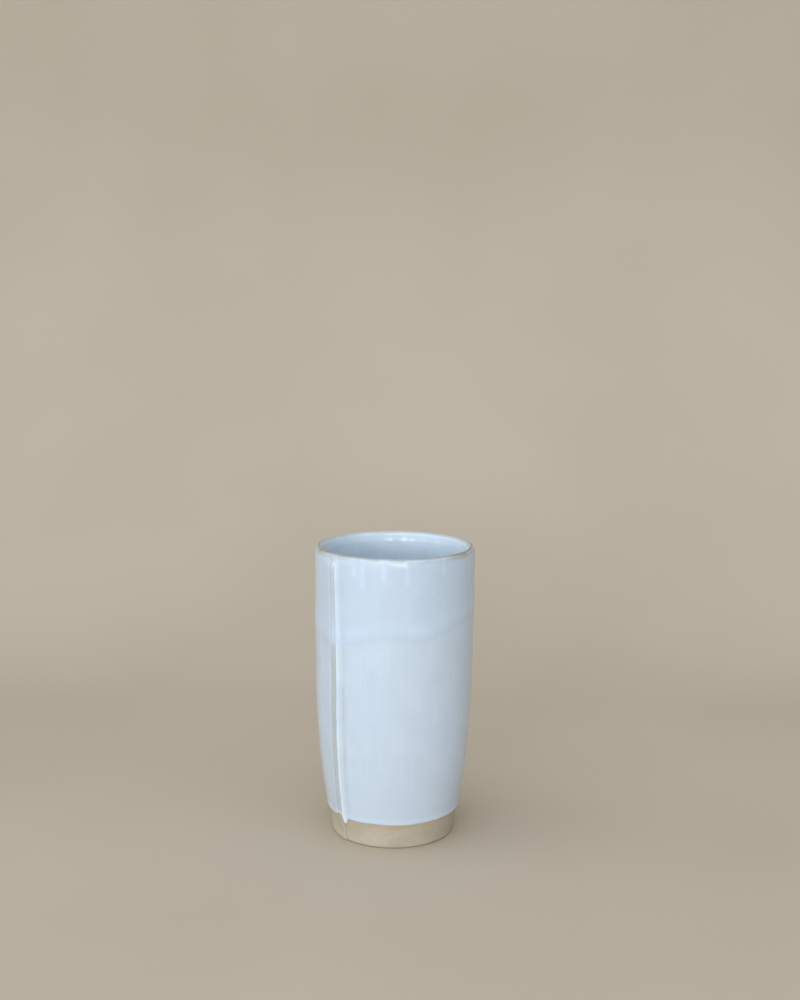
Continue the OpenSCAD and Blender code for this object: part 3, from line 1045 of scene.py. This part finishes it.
def grains(tree, spacing, largest):
    """The mask of grains, placed in another group."""
    return use_group(tree, grain_group, Spacing=spacing, Largest=largest)["Mask"]


grain_group = make_grain_group()
print("grain group has", len(grain_group.nodes), "nodes")

# %% [markdown]
# Bare stoneware
#
# Seen close, the foot is not one beige. It has slow grey and warm patches from the kiln, a sandy
# grain, dark and pale grains, fine lines where the sponge went round, and the toasted band.

# %% Node group and material of the bare clay
PALE_CLAY, TOASTED_CLAY, SLIP_CLAY = paint(193, 186, 168), paint(186, 165, 133), paint(176, 167, 146)
KILN_GREY, SAND_BROWN, SPONGED_PALE = paint(166, 160, 146), paint(150, 136, 112), paint(204, 197, 178)
PALE_GROG, DARK_IRON = paint(214, 206, 186), paint(110, 90, 68)
FINISH = [("Color", "Color"), ("Roughness", "Float"), ("Height", "Float")]


def make_clay_group():
    """Colour, roughness and height of fired clay."""
    tree, given, put_out = start_group(
        "fired_clay", [("Clay", "Color", PALE_CLAY), ("Toasted", "Color", TOASTED_CLAY)], FINISH)
    patches = eased(tree, blotches(tree, 17, 9, 3.0), 0.35, 0.68)
    sand = blotches(tree, 0.6, 0.5, 3.0)
    lines = blotches(tree, 7, 0.5)
    pale = grains(tree, 1.3, 0.34)
    toast = add_node(tree, "Attribute", {"attribute_name": "toast"}).outputs["Fac"]
    plug(tree, put_out["Color"], layered(tree, given["Clay"], [
        (patches, 0.45, KILN_GREY), (eased(tree, sand, 0.35, 0.75), 0.3, SAND_BROWN),
        (eased(tree, lines, 0.4, 0.75), 0.28, SPONGED_PALE), (toast, 0.75, given["Toasted"]),
        (pale, 0.2, PALE_GROG), (grains(tree, 2.6, 0.17), 0.5, DARK_IRON)]))
    plug(tree, put_out["Roughness"], eased(tree, sand, 0.2, 0.8, 0.72, 0.92))
    bumps = maths(tree, "ADD", times(tree, sand, 0.6), times(tree, lines, 0.5))
    plug(tree, put_out["Height"], maths(tree, "ADD", bumps, times(tree, pale, 0.35)))
    return tree


def surface_of(name, group, bump_mm, shine=0.5, **sockets):
    """A material whose shader takes colour, roughness and height from a group."""
    material, tree, shader = start_material(name)
    made = use_group(tree, group, **sockets)
    raised = add_node(tree, "Bump", Height=made["Height"], Distance=bump_mm * MM, Strength=1.0)
    plug(tree, shader["Base Color"], made["Color"])
    plug(tree, shader["Roughness"], made["Roughness"])
    plug(tree, shader["Normal"], raised.outputs[0])
    plug(tree, shader["Specular IOR Level"], shine)
    return material


clay_group = make_clay_group()
finish_with(surface_of("bare_stoneware", clay_group, 0.12, 0.3),
            slab_wall, floor_disc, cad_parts["corner_coil"])
finish_with(surface_of("joining_slip", clay_group, 0.08, 0.3, Clay=SLIP_CLAY),
            lap_slip_film, floor_slip_ring)
print("clay group has", len(clay_group.nodes), "nodes")

# %% [markdown]
# Milky glaze
#
# The glaze is a thin milk over brown clay, so its colour is its thickness: almost nothing lets the
# toasted clay through, a fifth of a millimetre is beige grey, the usual coat is pale blue, and a
# pool is white. The coat number on the vertices says how thick it is, so the same recipe colours
# the body, the edges, the drip and the second dip. Soft clouds and drained streaks are laid over it.

# %% Node group of the glaze
GLAZE_BUMP = 0.05
THIN_COLOURS = [(0.0, paint(146, 122, 96)), (0.07, paint(160, 145, 126)), (0.13, paint(172, 178, 178)),
                (0.2, paint(184, 194, 200)), (0.32, paint(194, 209, 221))]
CLOUD_BLUE, STREAK_WHITE, IRON_HALO = paint(170, 188, 204), paint(220, 234, 245), paint(150, 140, 126)
FIRST_COAT = {"Usual": paint(201, 217, 234), "Thick": paint(221, 235, 245)}
SECOND_COAT = {"Usual": paint(197, 215, 234), "Thick": paint(208, 228, 247)}
# The inside coat's colours are lighter than the outside coat's. This is painted light that stands for
# the light falling into the cup.
INSIDE_COAT_PAINTED_LIGHTER = {"Usual": paint(220, 236, 249), "Thick": paint(227, 240, 251)}


def make_glaze_group():
    """Colour, roughness and height of the glaze, from the thickness of its coat."""
    colours = [(name, "Color", colour) for name, colour in FIRST_COAT.items()]
    tree, given, put_out = start_group("milky_glaze", colours, FINISH)
    coat = add_node(tree, "Attribute", {"attribute_name": "coat"}).outputs["Fac"]
    mottle = maths(tree, "SUBTRACT", blotches(tree, 1.6, 2.0, 3.0), 0.5)
    uneven = maths(tree, "ADD", coat, times(tree, mottle, 0.09))
    thin = add_node(tree, "ValToRGB", Fac=uneven)
    ramp = thin.color_ramp
    while len(ramp.elements) < len(THIN_COLOURS):
        ramp.elements.new(1.0)
    for element, (position, colour) in zip(ramp.elements, THIN_COLOURS):
        element.position = position
        element.color = colour
    clouds = eased(tree, blotches(tree, 10, 13), 0.32, 0.68)
    drained = eased(tree, blotches(tree, 2.6, 34), 0.5, 0.75)
    plug(tree, put_out["Color"], layered(tree, thin.outputs["Color"], [
        (eased(tree, uneven, 0.26, 0.42), 1.0, given["Usual"]),
        (eased(tree, uneven, 0.55, 1.0), 1.0, given["Thick"]), (clouds, 0.11, CLOUD_BLUE),
        (drained, 0.12, STREAK_WHITE), (grains(tree, 3.4, 0.13), 0.35, IRON_HALO)]))
    plug(tree, put_out["Roughness"], eased(tree, uneven, 0.05, 0.3, 0.45, 0.17))
    lines = times(tree, blotches(tree, 22, 1.8, 1.0), 0.35)
    plug(tree, put_out["Height"], maths(tree, "ADD", blotches(tree, 3.2, 3.2, 1.0), lines))
    return tree


glaze_group = make_glaze_group()
finish_with(surface_of("first_glaze", glaze_group, GLAZE_BUMP, **FIRST_COAT), outer_glaze_coat)
finish_with(surface_of("second_glaze", glaze_group, GLAZE_BUMP, **SECOND_COAT), rim_dip_coat)
# The inside glaze is given a lighter colour than the outside: painted light.
finish_with(surface_of("inside_glaze_painted_lighter", glaze_group, GLAZE_BUMP, **INSIDE_COAT_PAINTED_LIGHTER), inner_glaze_coat)
print("glaze group has", len(glaze_group.nodes), "nodes")

# %% [markdown]
# Floor, light and camera
#
# The cup stands on a sheet that runs up behind it in one curve, so no edge shows. The sheet is a
# plain pale beige, a little darker than white, so that a white cup stands out from it. A plane is
# extruded up at its far edge and the fold is bevelled into a wide curve.

# %% Sheet under and behind the cup
SHEET_WIDTH = 5.0
SHEET_BACK = 0.62
SHEET_FRONT = -2.2
SHEET_HEIGHT = 2.6
SHEET_CURVE = 0.42
PAPER, PAPER_SHADE = paint(194, 184, 169), paint(190, 179, 163)


def make_sheet():
    """The floor and backdrop in one curved sheet."""
    bpy.ops.object.select_all(action="DESELECT")
    bpy.ops.mesh.primitive_plane_add(size=1, location=(0, (SHEET_BACK + SHEET_FRONT) / 2, 0))
    sheet = bpy.context.object
    sheet.name = "paper_sheet"
    sheet.scale = (SHEET_WIDTH, SHEET_BACK - SHEET_FRONT, 1)
    bpy.ops.object.transform_apply(location=True, rotation=True, scale=True)

    def along_fold(edge):
        ends = [sheet.data.vertices[end].co for end in edge.vertices]
        return all(end.y > 0 and end.z < SHEET_HEIGHT / 2 for end in ends)

    select_only(sheet, "EDGE", along_fold)
    bpy.ops.mesh.extrude_region_move(TRANSFORM_OT_translate={"value": (0, 0, SHEET_HEIGHT)})
    select_only(sheet, "EDGE", along_fold)
    bpy.ops.mesh.bevel(offset=SHEET_CURVE, segments=32, affect="EDGES")
    bpy.ops.object.mode_set(mode="OBJECT")
    bpy.ops.object.shade_smooth()
    return sheet


def make_paper():
    """Plain pale paper with a very faint cloudiness."""
    material, tree, shader = start_material("pale_paper")
    clouds = eased(tree, blotches(tree, 240, 240), 0.3, 0.7)
    plug(tree, shader["Base Color"], blend(tree, clouds, PAPER, PAPER_SHADE))
    plug(tree, shader["Roughness"], 0.9)
    plug(tree, shader["Specular IOR Level"], 0.2)
    return material


paper_sheet = make_sheet()
finish_with(make_paper(), paper_sheet)
print("sheet has", len(paper_sheet.data.polygons), "faces")

# %% [markdown]
# The photograph's light comes through a low, wide window in front of the cup, and the room is a
# little brighter at the far left and dark at the far right. So the wall is evenly bright from the
# left to the middle and falls off towards the right edge, and the far wall inside darkens from the
# rim down, where the near rim shades it. One area light and a grey room do the same here.

# %% Window light and room
WINDOW_SIDE = -9
WINDOW_UP = 9
WINDOW_AWAY = 1.3
WINDOW_SIZE = (1.2, 0.16)
WINDOW_POWER = 6.4
ROOM_COLOUR = (0.945, 0.975, 1.01, 1.0)
ROOM_LEVEL = 0.89
DARK_FROM, DARK_TO = 0.52, 0.9
LEFT_LEVEL = 1.42
LEFT_WHOLE, LEFT_END = -0.95, -0.35
CEILING_LEVEL = 1.35
CEILING_START = 0.3


def hang_window():
    """A wide area light that faces the middle of the cup."""
    side, up = radians(WINDOW_SIDE), radians(WINDOW_UP)
    away = Vector((np.sin(side) * np.cos(up), -np.cos(side) * np.cos(up), np.sin(up)))
    middle = Vector((0, 0, CUP_HEIGHT / 2 * MM))
    bpy.ops.object.light_add(type="AREA", location=middle + away * WINDOW_AWAY)
    window = bpy.context.object
    window.name = "window"
    window.rotation_euler = away.to_track_quat("Z", "Y").to_euler()
    window.data.shape = "RECTANGLE"
    window.data.size, window.data.size_y = WINDOW_SIZE
    window.data.energy = WINDOW_POWER
    return window


def light_room():
    """A near-grey world, brighter overhead and at the far left, that fades out at the far right."""
    room = bpy.data.worlds.new("room")
    room.use_nodes = True
    tree = room.node_tree
    towards = add_node(tree, "SeparateXYZ", Vector=add_node(tree, "TexCoord").outputs["Generated"])
    background = tree.nodes["Background"].inputs
    right = eased(tree, towards.outputs["X"], DARK_FROM, DARK_TO, ROOM_LEVEL, 0.0)
    left = eased(tree, towards.outputs["X"], LEFT_WHOLE, LEFT_END, LEFT_LEVEL, 1.0)
    overhead = eased(tree, towards.outputs["Z"], CEILING_START, 1.0, 1.0, CEILING_LEVEL)
    plug(tree, background["Color"], ROOM_COLOUR)
    plug(tree, background["Strength"], times(tree, times(tree, right, left), overhead))
    return room


window = hang_window()
bpy.context.scene.world = light_room()
print("window stands at", [round(value, 2) for value in window.location])

# %% [markdown]
# The camera looks down a little on the cup from the front, from where the ellipse of the rim and
# the foot's curve both match the photograph. Standard view shows each colour as it was mixed.

# %% Camera
CAMERA_PLACE = (0.00214, -0.655, 0.2654)
CAMERA_LENS = 50.4
CAMERA_DOWN = 81.0
CAMERA_ROLL = 0.51

camera_data = bpy.data.cameras.new("camera")
camera_data.lens = CAMERA_LENS
camera = bpy.data.objects.new("camera", camera_data)
bpy.context.scene.collection.objects.link(camera)
looking = Matrix.Rotation(radians(CAMERA_DOWN), 4, "X") @ Matrix.Rotation(radians(CAMERA_ROLL), 4, "Z")
camera.matrix_world = Matrix.Translation(CAMERA_PLACE) @ looking
bpy.context.scene.camera = camera
bpy.context.scene.view_settings.view_transform = "Standard"
print("camera is", round(camera.location.length, 3), "m from the foot of the cup")
